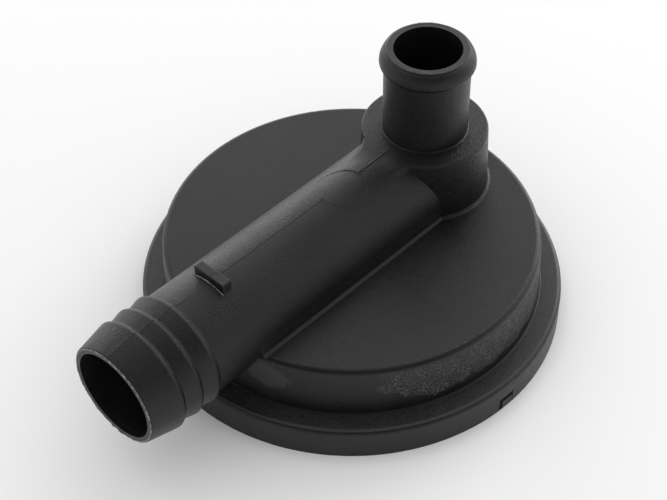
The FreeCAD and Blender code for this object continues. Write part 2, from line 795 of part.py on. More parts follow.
def make_pressure_spring():
    body = new_body("pressure_spring")
    low = f"({PLATE_TOP} + coil_end_gap + wire_radius)"
    high = f"({SPRING_CEILING} - coil_end_gap - wire_radius)"
    section = new_sketch(body, "wire_section", "XZ_Plane", ("0", low, "0"))
    draw_circle(section, "wire_radius", COIL_RADIUS)
    coil = body.newObject("PartDesign::AdditiveHelix", "coil")
    coil.Profile = section
    coil.ReferenceAxis = (section, ["V_Axis"])
    coil.Mode = "height-turns-angle"
    coil.Height = number(f"{high} - {low}")
    bind(coil, "Height", f"{high} - {low}")
    coil.Turns = number("coil_turns")
    bind(coil, "Turns", "coil_turns")
    doc.recompute()
    return body


bodies = [
    make_upper_housing(),
    make_bottom_cover(),
    make_diaphragm(),
    make_support_plate(),
    make_pressure_spring(),
]
doc.recompute()

for thing in doc.Objects:
    if "Invalid" in thing.State or "Error" in thing.State:
        raise RuntimeError(f"{thing.Label} could not be worked out: {thing.getStatusString()}")
for body in bodies:
    if body.Shape.isNull() or not body.Shape.isValid():
        raise RuntimeError(f"{body.Label} has no sound shape")
    if len(body.Shape.Solids) != 1:
        raise RuntimeError(f"{body.Label} is not one solid")

os.makedirs(PARTS_FOLDER, exist_ok=True)
for body in bodies:
    body.Shape.exportStep(os.path.join(PARTS_FOLDER, body.Label + ".step"))
    box = body.Shape.BoundBox
    print(f"{body.Label}: {box.XLength:.2f} x {box.YLength:.2f} x {box.ZLength:.2f} mm, "
          f"{body.Shape.Volume:.0f} mm3")
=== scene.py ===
import math

import bpy
from mathutils import Matrix, Vector, noise
from mathutils.bvhtree import BVHTree


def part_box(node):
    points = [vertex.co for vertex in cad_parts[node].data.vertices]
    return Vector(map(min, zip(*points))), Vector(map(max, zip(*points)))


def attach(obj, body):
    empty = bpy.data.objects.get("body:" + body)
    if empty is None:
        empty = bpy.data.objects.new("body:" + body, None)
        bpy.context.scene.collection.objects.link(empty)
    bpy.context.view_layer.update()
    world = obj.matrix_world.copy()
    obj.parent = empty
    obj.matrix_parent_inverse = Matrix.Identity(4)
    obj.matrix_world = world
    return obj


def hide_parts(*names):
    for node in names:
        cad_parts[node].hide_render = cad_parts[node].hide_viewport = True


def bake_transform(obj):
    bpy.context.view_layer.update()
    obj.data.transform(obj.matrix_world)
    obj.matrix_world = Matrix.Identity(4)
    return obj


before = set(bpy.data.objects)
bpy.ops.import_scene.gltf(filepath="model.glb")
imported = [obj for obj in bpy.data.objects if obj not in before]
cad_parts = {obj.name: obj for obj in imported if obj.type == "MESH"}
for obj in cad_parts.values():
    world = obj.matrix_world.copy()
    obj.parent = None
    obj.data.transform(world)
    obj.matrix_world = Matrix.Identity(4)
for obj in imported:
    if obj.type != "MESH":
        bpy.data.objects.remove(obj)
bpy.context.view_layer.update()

# Upper housing: drum, flange, barbed side pipe, boss and top pipe, moulded in one shot of black
# glass-filled nylon. The spark-eroded mould leaves an even satin grain, and handling has rubbed the
# edges paler. Storage has frosted a patch of the drum's side, and dust lies on the flange. A painted
# highlight lightens the flange's rounded edge, and a painted reflection lightens an oval of the
# drum's side beside the pipe.

MM = 0.001
BLACK_NYLON = (0.0050, 0.0048, 0.0046)
GREYED_NYLON = (0.0082, 0.0079, 0.0076)
RUBBED_NYLON = (0.060, 0.060, 0.060)
FROSTED_NYLON = (0.12, 0.119, 0.115)
# Colour of the painted reflection on the drum's side beside the pipe.
REFLECTED_LIGHT_NYLON = (0.026, 0.026, 0.026)
# Colour of the ledge's dust, also used for a painted highlight along the flange's rounded edge.
DUST_AND_HIGHLIGHT_NYLON = (0.048, 0.047, 0.045)

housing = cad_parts["upper_housing"]
housing_low, housing_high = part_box("upper_housing")
side_mouth_x = housing_low.x
top_mouth_z = housing_high.z
flange_radius = housing_high.x


def inside_flange(*distances):
    """Radii that lie these distances in from the flange's edge, given in millimetres."""
    return [flange_radius - distance * MM for distance in distances]


# A band is where a mark begins, where it is full, up to where it stays full, and where it ends.
DRUM_WALL_BAND = inside_flange(6.0, 5.7, 4.6, 4.4)
LEDGE_BAND = inside_flange(4.6, 4.2, 1.5, 0.7)
# Where the painted highlight lies along the flange's rounded edge.
LEDGE_HIGHLIGHT_BAND = inside_flange(1.0, 0.7, 0.5, 0.3)
LEDGE_HEIGHT_BAND = (6.5 * MM, 6.8 * MM, 7.7 * MM, 8.3 * MM)
FROST_BEARING_BAND = [math.radians(bearing) for bearing in (-131, -127.56, -66, -45.95)]
FROST_FOOT_FROM, FROST_FOOT_FULL = 9.2 * MM, 9.7 * MM
FROST_TOP_FULL, FROST_TOP_TO = 17.7 * MM, 18.9 * MM
FROST_THIN_TO, FROST_THICK_FROM, FROST_THIN = math.radians(-106.1), math.radians(-86.05), 0.7
FROST_LEVEL_FROM, FROST_RAISED_AT, FROST_RISE = math.radians(-111), math.radians(-131), 3.5 * MM
# Place and size of the painted reflection on the drum's side.
REFLECTION_BEARING, REFLECTION_HALF_WIDTH = math.radians(-162), math.radians(6.366)
REFLECTION_HEIGHT, REFLECTION_HALF_HEIGHT = 14.8 * MM, 2.778 * MM
RAGGED_SIDES, RAGGED_FOOT = 0.3, 5.0 * MM
ROOF_HEIGHT, BOSS_FOOT_HEIGHT = 19.3 * MM, 20.8 * MM
GRAIN_DEPTH, ROOF_GRAIN_SHARE, FROST_DEPTH_SHARE = 0.17 * MM, 0.4, 0.5


def join(tree, source, target):
    """Feeds a socket, or sets it where a plain number is given."""
    if isinstance(source, (int, float)):
        target.default_value = source
    else:
        tree.links.new(source, target)


def work_out(tree, operation, first, second=0.0):
    node = tree.nodes.new("ShaderNodeMath")
    node.operation = operation
    join(tree, first, node.inputs[0])
    join(tree, second, node.inputs[1])
    return node.outputs[0]


def times(tree, first, *others):
    """The product of values, each a number or a socket. Sums and differences work alike."""
    for other in others:
        first = work_out(tree, "MULTIPLY", first, other)
    return first


def plus(tree, first, *others):
    for other in others:
        first = work_out(tree, "ADD", first, other)
    return first


def minus(tree, first, *others):
    for other in others:
        first = work_out(tree, "SUBTRACT", first, other)
    return first


def fade(tree, value, low, high, out_low=0.0, out_high=1.0):
    """A soft step of the value from low to high."""
    node = tree.nodes.new("ShaderNodeMapRange")
    node.interpolation_type = "SMOOTHSTEP"
    join(tree, value, node.inputs["Value"])
    node.inputs["From Min"].default_value = low
    node.inputs["From Max"].default_value = high
    node.inputs["To Min"].default_value = out_low
    node.inputs["To Max"].default_value = out_high
    return node.outputs["Result"]


def band(tree, value, begins, full, lasts, ends):
    """A mask that rises and falls again as the value grows."""
    return times(tree, fade(tree, value, begins, full), fade(tree, value, ends, lasts))


def mottle(tree, place, size, detail=3.0, rough=0.5):
    """Noise with blots of about this size in metres. The size is a number or a socket."""
    node = tree.nodes.new("ShaderNodeTexNoise")
    join(tree, place, node.inputs["Vector"])
    scale = 1.0 / size if isinstance(size, float) else work_out(tree, "DIVIDE", 1.0, size)
    join(tree, scale, node.inputs["Scale"])
    node.inputs["Detail"].default_value = detail
    node.inputs["Roughness"].default_value = rough
    return node.outputs["Fac"]


def blend_colour(tree, factor, first, second):
    node = tree.nodes.new("ShaderNodeMix")
    node.data_type = "RGBA"
    join(tree, factor, node.inputs["Factor"])
    for socket, colour in ((node.inputs["A"], first), (node.inputs["B"], second)):
        if isinstance(colour, tuple):
            socket.default_value = (*colour, 1.0)
        else:
            tree.links.new(colour, socket)
    return node.outputs["Result"]


def turn_between(tree, first, second):
    """Cosine of the angle between two directions. The second is a socket or three numbers."""
    node = tree.nodes.new("ShaderNodeVectorMath")
    node.operation = "DOT_PRODUCT"
    join(tree, first, node.inputs[0])
    if isinstance(second, tuple):
        node.inputs[1].default_value = second
    else:
        join(tree, second, node.inputs[1])
    return node.outputs["Value"]


def new_effect(name, inputs, outputs):
    """An empty shader group that takes a place on the surface and the named values."""
    group = bpy.data.node_groups.new(name, "ShaderNodeTree")
    group.interface.new_socket("Place", in_out="INPUT", socket_type="NodeSocketVector")
    for socket in inputs:
        group.interface.new_socket(socket, in_out="INPUT", socket_type="NodeSocketFloat")
    for socket in outputs:
        group.interface.new_socket(socket, in_out="OUTPUT", socket_type="NodeSocketFloat")
    given = group.nodes.new("NodeGroupInput").outputs
    return group, given, group.nodes.new("NodeGroupOutput").inputs


def make_mould_grain(fine_share=0.75):
    """Height of a spark-eroded mould's grain, and a slow drift in tone and gloss."""
    sizes = ("Fine Size", "Coarse Size", "Drift Size")
    group, given, out = new_effect("mould_grain", sizes, ("Height", "Drift"))
    place = given["Place"]
    fine = times(group, mottle(group, place, given["Fine Size"], rough=0.65), fine_share)
    coarse = times(group, mottle(group, place, given["Coarse Size"], detail=2.0), 1.0 - fine_share)
    join(group, plus(group, fine, coarse), out["Height"])
    drift = mottle(group, place, given["Drift Size"], detail=4.0, rough=0.6)
    join(group, drift, out["Drift"])
    return group


def make_rubbed_edges():
    """Mask of worn edges: where a rounded normal leaves the true one, in patches."""
    values = ("Edge Width", "Patch Size", "Amount")
    group, given, out = new_effect("rubbed_edges", values, ("Mask",))
    rounded = group.nodes.new("ShaderNodeBevel")
    rounded.samples = 6
    join(group, given["Edge Width"], rounded.inputs["Radius"])
    true = group.nodes.new("ShaderNodeNewGeometry")
    edge = turn_between(group, rounded.outputs["Normal"], true.outputs["Normal"])
    edge = fade(group, edge, 0.99, 0.85)
    patches = mottle(group, given["Place"], given["Patch Size"], detail=4.0, rough=0.6)
    patches = fade(group, patches, 0.35, 0.65, 0.3, 1.0)
    join(group, times(group, edge, patches, given["Amount"]), out["Mask"])
    return group


mould_grain = make_mould_grain()
rubbed_edges = make_rubbed_edges()


def add_effect(tree, group, place, values):
    """Places a shader group in a material, with the material's own values."""
    node = tree.nodes.new("ShaderNodeGroup")
    node.node_tree = group
    tree.links.new(place, node.inputs["Place"])
    for name, value in values.items():
        node.inputs[name].default_value = value
    return node.outputs


def add_moulded_surface(tree, place, wear):
    """The grain's height and drift, and the mask of worn edges, as all nylon pieces have them."""
    sizes = {"Fine Size": 0.34 * MM, "Coarse Size": 1.0 * MM, "Drift Size": 15 * MM}
    grain = add_effect(tree, mould_grain, place, sizes)
    edges = {"Edge Width": 0.4 * MM, "Patch Size": 2.2 * MM, "Amount": wear}
    worn = add_effect(tree, rubbed_edges, place, edges)
    return grain["Height"], grain["Drift"], worn["Mask"]


def new_finish(name):
    """A material with its tree, its shader, and the place on the piece as a vector."""
    material = bpy.data.materials.new(name)
    material.use_nodes = True
    tree = material.node_tree
    place = tree.nodes.new("ShaderNodeTexCoord").outputs["Object"]
    return material, tree, tree.nodes["Principled BSDF"], place


def add_bump(tree, shader, height, distance):
    bump = tree.nodes.new("ShaderNodeBump")
    bump.inputs["Strength"].default_value = 1.0
    bump.inputs["Distance"].default_value = distance
    join(tree, height, bump.inputs["Height"])
    join(tree, bump.outputs["Normal"], shader.inputs["Normal"])


def dress(piece, material):
    piece.data.materials.clear()
    piece.data.materials.append(material)


def round_the_drum(tree, place):
    """A place's distance from the drum's axis, its bearing in radians from +X, and its height."""
    parts = tree.nodes.new("ShaderNodeSeparateXYZ")
    join(tree, place, parts.inputs[0])
    x, y, height = parts.outputs
    squares = plus(tree, times(tree, x, x), times(tree, y, y))
    return work_out(tree, "SQRT", squares), work_out(tree, "ARCTAN2", y, x), height


def frosted_patch(tree, bearing, height, ragged):
    """Mask of the patch where the drum's side was scuffed. Its left end is thinner and higher."""
    sides = band(tree, plus(tree, bearing, times(tree, ragged, RAGGED_SIDES)), *FROST_BEARING_BAND)
    raised = fade(tree, bearing, FROST_LEVEL_FROM, FROST_RAISED_AT, 0.0, FROST_RISE)
    foot = minus(tree, height, times(tree, ragged, RAGGED_FOOT), raised)
    foot = fade(tree, foot, FROST_FOOT_FROM, FROST_FOOT_FULL)
    top = fade(tree, height, FROST_TOP_TO, FROST_TOP_FULL)
    thickness = fade(tree, bearing, FROST_THIN_TO, FROST_THICK_FROM, FROST_THIN, 1.0)
    return times(tree, sides, foot, top, thickness)


def painted_reflection_patch(tree, bearing, height, ragged):
    """Mask of an uneven oval beside the pipe, a painted reflection that lightens the drum's side."""
    along = minus(tree, plus(tree, bearing, times(tree, ragged, RAGGED_SIDES)), REFLECTION_BEARING)
    along = times(tree, along, 1.0 / REFLECTION_HALF_WIDTH)
    upward = minus(tree, height, times(tree, ragged, RAGGED_FOOT), REFLECTION_HEIGHT)
    upward = times(tree, upward, 1.0 / REFLECTION_HALF_HEIGHT)
    apart = plus(tree, times(tree, along, along), times(tree, upward, upward))
    return fade(tree, apart, 1.15, 0.85)


def flange_dust_and_highlight(tree, place, across, height):
    """Mask of the dust on the flange's ledge, and of a painted highlight: a paler line along its
    rounded edge.
    """
    specks = mottle(tree, place, 0.45 * MM, rough=0.65)
    specks = fade(tree, specks, 0.36, 0.64, 0.2, 0.58)
    ledge = times(tree, band(tree, across, *LEDGE_BAND), specks)
    # A painted highlight: an even paler line along the rounded edge.
    edge = times(tree, band(tree, across, *LEDGE_HIGHLIGHT_BAND), 0.75)
    dust_and_highlight = work_out(tree, "MAXIMUM", ledge, edge)
    return times(tree, dust_and_highlight, band(tree, height, *LEDGE_HEIGHT_BAND))


def make_housing_nylon():
    material, tree, shader, place = new_finish("housing_nylon")
    grain, drift, worn = add_moulded_surface(tree, place, wear=0.5)
    across, bearing, height = round_the_drum(tree, place)
    on_wall = band(tree, across, *DRUM_WALL_BAND)
    ragged = minus(tree, mottle(tree, place, 4.5 * MM, detail=4.0, rough=0.6), 0.5)
    scuff = times(tree, frosted_patch(tree, bearing, height, ragged), on_wall)
    reflection_patch = times(tree, painted_reflection_patch(tree, bearing, height, ragged), on_wall)
    scratches = mottle(tree, place, 0.34 * MM, detail=2.0, rough=0.7)
    clouds = fade(tree, mottle(tree, place, 2.6 * MM, rough=0.6), 0.35, 0.6, 0.45, 1.0)
    frost = times(tree, scuff, fade(tree, scratches, 0.42, 0.66), clouds)

    tone = blend_colour(tree, fade(tree, drift, 0.35, 0.65), BLACK_NYLON, GREYED_NYLON)
    tone = blend_colour(tree, worn, tone, RUBBED_NYLON)
    # Painted reflection: an uneven lighter oval on the drum's side beside the pipe.
    tone = blend_colour(tree, times(tree, reflection_patch, 0.85), tone, REFLECTED_LIGHT_NYLON)
    tone = blend_colour(tree, frost, tone, FROSTED_NYLON)
    # Dust on the ledge, and a painted highlight along the flange's rounded edge.
    tone = blend_colour(tree, flange_dust_and_highlight(tree, place, across, height), tone, DUST_AND_HIGHLIGHT_NYLON)
    join(tree, tone, shader.inputs["Base Color"])
    shader.inputs["Specular IOR Level"].default_value = 0.36

    roughness = fade(tree, drift, 0.3, 0.7, 0.36, 0.42)
    by_grain = fade(tree, grain, 0.3, 0.7, -0.08, 0.08)
    roughness = plus(tree, roughness, times(tree, scuff, 0.1), by_grain)
    join(tree, roughness, shader.inputs["Roughness"])

    depth = fade(tree, height, ROOF_HEIGHT, BOSS_FOOT_HEIGHT, ROOF_GRAIN_SHARE, 1.0)
    relief = plus(tree, times(tree, grain, depth), times(tree, frost, FROST_DEPTH_SHARE))
    add_bump(tree, shader, relief, GRAIN_DEPTH)
    return material


housing_nylon = make_housing_nylon()
dress(housing, housing_nylon)

# Fairing skin: the mould runs the side pipe's crest into the boss top in one soft sweep, so the
# boss's rim fades out there. This thin skin lies on the housing's own fairing and is part of it.

TOP_PIPE_LENGTH, PIPE_RADIUS = 20.15 * MM, 11.4 * MM
BOSS_X, BOSS_RIM, BOSS_RISE = 22.6 * MM, 13.4 * MM, 0.05 * MM
BOSS_TOP = top_mouth_z - TOP_PIPE_LENGTH
PIPE_AXIS = BOSS_TOP - BOSS_RISE - PIPE_RADIUS
SKIN_INSIDE_RIM = 0.9 * MM
SKIN_LEAST_REACH, SKIN_REACH = 0.05 * MM, 6.0 * MM
SKIN_FRONT, SKIN_BACK = (-6.4 * MM, -4.2 * MM), (7.4 * MM, 4.6 * MM)
SKIN_LIFT, SKIN_BORDER_DROP = 0.012 * MM, 0.048 * MM


def soft_step(value, low=0.0, high=1.0):
    share = min(max((value - low) / (high - low), 0.0), 1.0)
    return share * share * (3 - 2 * share)


def skin_reach(y):
    """How far the skin runs out from the boss's rim over the pipe."""
    return SKIN_LEAST_REACH + SKIN_REACH * soft_step(y, *SKIN_FRONT) * soft_step(y, *SKIN_BACK)


def skin_point(y, outward):
    """A point of the skin, this far outside the boss's rim."""
    x = BOSS_X - math.sqrt((BOSS_RIM + outward) ** 2 - y * y)
    pipe_top = PIPE_AXIS + math.sqrt(PIPE_RADIUS ** 2 - y * y)
    fall = soft_step(outward, 0.0, skin_reach(y))
    return Vector((x, y, BOSS_TOP + (pipe_top - BOSS_TOP) * fall + SKIN_LIFT))


def new_piece(name, points, faces, material, body="housing"):
    """A smooth-shaded mesh piece that rides on a body, if one is named."""
    mesh = bpy.data.meshes.new(name)
    mesh.from_pydata(points, [], faces)
    mesh.update()
    for face in mesh.polygons:
        face.use_smooth = True
    piece = bpy.data.objects.new(name, mesh)
    bpy.context.scene.collection.objects.link(piece)
    mesh.materials.append(material)
    if body:
        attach(piece, body)
    return piece


def grid_faces(rows, columns, closed_rows=False, closed_columns=False):
    """Quads between neighbouring points of a grid that is stored row by row."""
    faces = []
    for row in range(rows if closed_rows else rows - 1):
        here, after = row * columns, (row + 1) % rows * columns
        for column in range(columns if closed_columns else columns - 1):
            beside = (column + 1) % columns
            faces.append((here + column, here + beside, after + beside, after + column))
    return faces


def make_fairing_skin(rows=72, columns=44):
    front, back = SKIN_FRONT[0], SKIN_BACK[0]
    points = []
    for row in range(rows):
        y = front + (back - front) * row / (rows - 1)
        for column in range(columns):
            width = SKIN_INSIDE_RIM + skin_reach(y)
            point = skin_point(y, width * column / (columns - 1) - SKIN_INSIDE_RIM)
            if row in (0, rows - 1) or column in (0, columns - 1):
                point.z -= SKIN_BORDER_DROP
            points.append(point)
    new_piece("fairing_skin", points, grid_faces(rows, columns), housing_nylon)


make_fairing_skin()

# Witness lines: hair-thin ridges that the joints of the mould leave on the housing. One runs along
# the pipe's crest, with a line of painted shade at its foot and a dot of painted shade at its end. A
# ring marks a round insert of the mould, and a seam between two lips crosses the fairing to the
# boss, with painted shade along the seam's bottom.

LINE_WIDTH, LINE_HEIGHT = 0.26 * MM, 0.07 * MM
CREST_LINE_SETBACK, CREST_LINE_END = 0.3 * MM, -8.6 * MM
CREST_WAVES_PER_METRE = 600
# Painted shade: a dark line along the crest line's foot, and a dark dot at its end.
SHADE_LINE_START, SHADE_LINE_WIDTH, SHADE_LINE_HEIGHT = -37.5 * MM, 0.13 * MM, 0.012 * MM
SHADE_DOT_RADIUS, SHADE_DOT_HEIGHT = 0.42 * MM, 0.02 * MM
INSERT_X, INSERT_RADIUS = -3.3 * MM, 5.27 * MM
INSERT_HIGH_SIDE = math.radians(-45)
SEAM_START, SEAM_END = 2.1 * MM, 13.3 * MM
SEAM_WIDTH, SEAM_HEIGHT = 0.24 * MM, 0.02 * MM
LIP_WIDTH, LIP_HEIGHT = 0.2 * MM, 0.03 * MM
# Colours of the painted shade in seams and gaps.
SEAM_BLACK, SEAM_GREY = (0.001, 0.001, 0.001), (0.004, 0.004, 0.004)
UP = Vector((0, 0, 1))

# Cross-section of a ridge: across in widths, up in heights. Its two edges lie below the surface.
RIDGE_SECTION = ((-0.5, -0.6), (-0.25, 0.65), (0.0, 1.0), (0.25, 0.65), (0.5, -0.6))

housing_surface = BVHTree.FromObject(housing, bpy.context.evaluated_depsgraph_get())


def top_of_housing(x, y):
    """The highest point of the housing over a spot, and its normal."""
    above = Vector((x, y, top_mouth_z + 6 * MM))
    place, normal, _, _ = housing_surface.ray_cast(above, -UP)
    return place, normal


def spots_along(start, end, step, find):
    """The (place, normal) spots that find gives at even steps from start to end."""
    count = max(2, int(abs(end - start) / step))
    return [find(start + (end - start) * index / count) for index in range(count + 1)]


def spots_round(step_degrees, find):
    """The spots that find gives once round a circle, without the first one again."""
    return spots_along(0.0, 2 * math.pi, math.radians(step_degrees), find)[:-1]


def ridge_piece(name, spots, width, height, material, closed=False):
    """A thin ridge through the spots. Its height is one number or one for each spot."""
    count = len(spots)
    heights = [height] * count if isinstance(height, float) else height
    points = []
    for index, (place, normal) in enumerate(spots):
        before = spots[(index - 1) % count if closed else max(index - 1, 0)][0]
        after = spots[(index + 1) % count if closed else min(index + 1, count - 1)][0]
        side = normal.cross(after - before).normalized() * width
        rise = normal * heights[index]
        points += [place + side * across + rise * up for across, up in RIDGE_SECTION]
    faces = grid_faces(count, len(RIDGE_SECTION), closed_rows=closed)
    new_piece(name, points, faces, material)


def crest_spot(x):
    return top_of_housing(x, 0.0)


def shade_line_spot(x):
    """A spot on the front foot of the crest line."""
    return top_of_housing(x, -0.5 * LINE_WIDTH)


def shade_dot_spot(angle):
    reach = 0.5 * SHADE_DOT_RADIUS
    return top_of_housing(CREST_LINE_END + reach * math.cos(angle), reach * math.sin(angle))


def insert_spot(angle):
    x = INSERT_X + INSERT_RADIUS * math.cos(angle)
    return top_of_housing(x, INSERT_RADIUS * math.sin(angle))


def seam_spot(x):
    """A spot on the fairing skin's crest line, or on the boss top behind it."""
    outward = BOSS_X - x - BOSS_RIM
    on_skin = outward > -SKIN_INSIDE_RIM
    return skin_point(0.0, outward) if on_skin else Vector((x, 0.0, BOSS_TOP)), UP


def make_seam_shade():
    """Painted shade for the bottom of a seam and for gaps: a near-black matt film."""
    material, tree, shader, place = new_finish("seam_shade")
    tone = blend_colour(tree, mottle(tree, place, 0.6 * MM), SEAM_BLACK, SEAM_GREY)
    join(tree, tone, shader.inputs["Base Color"])
    roughness = fade(tree, mottle(tree, place, 0.4 * MM), 0.3, 0.7, 0.75, 0.95)
    join(tree, roughness, shader.inputs["Roughness"])
    shader.inputs["Specular IOR Level"].default_value = 0.1
    return material


seam_shade = make_seam_shade()

crest_start = side_mouth_x + CREST_LINE_SETBACK
crest = spots_along(crest_start, CREST_LINE_END, step=0.12 * MM, find=crest_spot)
crest_heights = [
    LINE_HEIGHT * (0.75 + 0.35 * noise.noise(place * CREST_WAVES_PER_METRE)) for place, _ in crest
]
ridge_piece("crest_witness_line", crest, LINE_WIDTH, crest_heights, housing_nylon)

# A line of painted shade along the crest line's front foot, and a dot of painted shade at its end.
shade_line = spots_along(SHADE_LINE_START, CREST_LINE_END, step=0.15 * MM, find=shade_line_spot)
ridge_piece("crest_shade_line", shade_line, SHADE_LINE_WIDTH, SHADE_LINE_HEIGHT, seam_shade)
shade_dot = spots_round(step_degrees=30, find=shade_dot_spot)
ridge_piece("crest_shade_dot", shade_dot, SHADE_DOT_RADIUS, SHADE_DOT_HEIGHT, seam_shade, closed=True)

insert = spots_round(step_degrees=2, find=insert_spot)
insert_heights = [
    LINE_HEIGHT * (1.2 + 0.8 * math.cos(2 * math.pi * index / len(insert) - INSERT_HIGH_SIDE))
    for index in range(len(insert))
]
ridge_piece("insert_ring", insert, LINE_WIDTH, insert_heights, housing_nylon, closed=True)

# The seam's bottom is a strip of painted shade between two lips of housing nylon.
seam = spots_along(SEAM_START, SEAM_END, step=0.25 * MM, find=seam_spot)
ridge_piece("boss_seam", seam, SEAM_WIDTH, SEAM_HEIGHT, seam_shade)
for name, shift in (("boss_seam_lip_front", -SEAM_WIDTH), ("boss_seam_lip_back", SEAM_WIDTH)):
    lip = [(place + Vector((0, shift, 0)), normal) for place, normal in seam]
    ridge_piece(name, lip, LIP_WIDTH, LIP_HEIGHT, housing_nylon)

# Flash: ragged slivers of plastic that squeezed out round the mouths, where the bore cores shut
# off against the mould, and at the bar's foot. The cores also left a fine ring inside the side
# mouth and one on the nose of the top pipe's bead.

SIDE_BORE_RADIUS = PIPE_RADIUS - 1.9 * MM
SIDE_MOUTH_RADIUS = SIDE_BORE_RADIUS + 0.95 * MM
SIDE_FLASH_WIDTH = 0.26 * MM
SIDE_RING_DEPTH, SIDE_RING_WIDTH, SIDE_RING_HEIGHT = 1.2 * MM, 0.3 * MM, 0.03 * MM
TOP_MOUTH_RADIUS, TOP_FLASH_WIDTH = 8.4 * MM, 0.3 * MM
TOP_FLASH_START, TOP_FLASH_END = math.radians(15), math.radians(75)
NOSE_RING_RADIUS, NOSE_RING_DROP = TOP_MOUTH_RADIUS + 0.5 * MM, 0.42 * MM
NOSE_RING_WIDTH, NOSE_RING_HEIGHT = 0.4 * MM, 0.07 * MM
BAR_FRONT, BAR_HALF_LENGTH, BAR_FLASH_WIDTH = -40.0 * MM, 4.2 * MM, 0.2 * MM
WHOLE_FLASH, TORN_FLASH = (0.03, 0.03, 0.03), (0.42, 0.42, 0.42)


def make_flash_nylon():
    """Torn nylon: paler and rougher than the moulded face."""
    material, tree, shader, place = new_finish("flash_nylon")
    torn = fade(tree, mottle(tree, place, 0.35 * MM, rough=0.7), 0.42, 0.62)
    join(tree, blend_colour(tree, torn, WHOLE_FLASH, TORN_FLASH), shader.inputs["Base Color"])
    join(tree, fade(tree, torn, 0.0, 1.0, 0.4, 0.65), shader.inputs["Roughness"])
    add_bump(tree, shader, mottle(tree, place, 0.2 * MM, rough=0.7), 0.06 * MM)
    return material


def side_mouth_spot(angle):
    around = Vector((0, math.cos(angle), math.sin(angle)))
    return Vector((side_mouth_x, 0, PIPE_AXIS)) + around * SIDE_MOUTH_RADIUS, Vector((-1, 0, 0))


def side_bore_spot(angle):
    around = Vector((0, math.cos(angle), math.sin(angle)))
    centre = Vector((side_mouth_x + SIDE_RING_DEPTH, 0, PIPE_AXIS))
    return centre + around * SIDE_BORE_RADIUS, -around


def top_mouth_spot(angle, radius=TOP_MOUTH_RADIUS, drop=0.0):
    around = Vector((math.cos(angle), math.sin(angle), 0))
    place = Vector((BOSS_X, 0, top_mouth_z - drop)) + around * radius
    return place, (around * 0.5 + UP).normalized()


def nose_spot(angle):
    return top_mouth_spot(angle, NOSE_RING_RADIUS, NOSE_RING_DROP)


def bar_foot_spot(y):
    return top_of_housing(BAR_FRONT, y)


def ragged_heights(spots, least, most, rags_per_metre):
    """Heights that wander between two limits from spot to spot."""
    heights = []
    for place, _ in spots:
        wander = 0.5 + 0.9 * noise.fractal(place * rags_per_metre, 0.6, 2.2, 4)
        heights.append(least + (most - least) * max(0.0, wander))
    return heights


flash_nylon = make_flash_nylon()

side_flash = spots_round(step_degrees=0.8, find=side_mouth_spot)
side_heights = ragged_heights(side_flash, least=0.01 * MM, most=0.2 * MM, rags_per_metre=900)
ridge_piece("side_mouth_flash", side_flash, SIDE_FLASH_WIDTH, side_heights, flash_nylon, closed=True)
side_ring = spots_round(step_degrees=3, find=side_bore_spot)
ridge_piece(
    "side_bore_ring", side_ring, SIDE_RING_WIDTH, SIDE_RING_HEIGHT, housing_nylon, closed=True
)

top_flash = spots_along(TOP_FLASH_START, TOP_FLASH_END, step=math.radians(1), find=top_mouth_spot)
top_heights = ragged_heights(top_flash, least=0.0, most=0.12 * MM, rags_per_metre=1100)
ridge_piece("top_mouth_flash", top_flash, TOP_FLASH_WIDTH, top_heights, flash_nylon)

bar_flash = spots_along(BAR_HALF_LENGTH, -BAR_HALF_LENGTH, step=0.15 * MM, find=bar_foot_spot)
bar_heights = ragged_heights(bar_flash, least=0.16 * MM, most=0.26 * MM, rags_per_metre=500)
ridge_piece("bar_foot_flash", bar_flash, BAR_FLASH_WIDTH, bar_heights, flash_nylon)

nose_ring = spots_round(step_degrees=3, find=nose_spot)
ridge_piece("nose_ring", nose_ring, NOSE_RING_WIDTH, NOSE_RING_HEIGHT, housing_nylon, closed=True)

# Pressure spring: steel wire coiled round the seat tube, with its end turns laid flatter. It pushes
# the support plate down. The coil is built at one length and rides on no body.

spring_low, spring_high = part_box("pressure_spring")
WIRE_RADIUS, SPRING_TURNS = 0.45 * MM, 3.0
SPRING_RADIUS = spring_high.x - WIRE_RADIUS
END_FLATNESS = 0.38
OILED_STEEL, BRIGHT_STEEL = (0.34, 0.33, 0.32), (0.52, 0.51, 0.49)


def make_spring_steel():
    """Drawn wire with a thin oil film."""
    material, tree, shader, place = new_finish("spring_steel")
    drawn = mottle(tree, place, 0.5 * MM, detail=4.0, rough=0.6)
    join(tree, blend_colour(tree, drawn, OILED_STEEL, BRIGHT_STEEL), shader.inputs["Base Color"])
    shader.inputs["Metallic"].default_value = 1.0
    join(tree, fade(tree, drawn, 0.3, 0.7, 0.24, 0.42), shader.inputs["Roughness"])
    add_bump(tree, shader, drawn, 0.01 * MM)
    return material


def wire_centre(share):
    """A point of the wire's centre line, this share of the way up."""
    angle = 2 * math.pi * SPRING_TURNS * share
    low, high = spring_low.z + WIRE_RADIUS, spring_high.z - WIRE_RADIUS
    eased = 0.5 - 0.5 * math.cos(math.pi * share)
    climb = (1 - END_FLATNESS) * share + END_FLATNESS * eased
    x, y = SPRING_RADIUS * math.cos(angle), SPRING_RADIUS * math.sin(angle)
    return Vector((x, y, low + (high - low) * climb))


def make_spring(steps=300, around=14):
    points = []
    for step in range(steps + 1):
        centre = wire_centre(step / steps)
        outward = Vector((centre.x, centre.y, 0)).normalized()
        for part in range(around):
            angle = 2 * math.pi * part / around
            points.append(centre + (outward * math.cos(angle) + UP * math.sin(angle)) * WIRE_RADIUS)
    faces = grid_faces(steps + 1, around, closed_columns=True)
    faces.append(tuple(range(around)))
    faces.append(tuple(reversed(range(steps * around, (steps + 1) * around))))
    spring = new_piece("coil_spring", points, faces, make_spring_steel(), None)
    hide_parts("pressure_spring")
    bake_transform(spring)


make_spring()

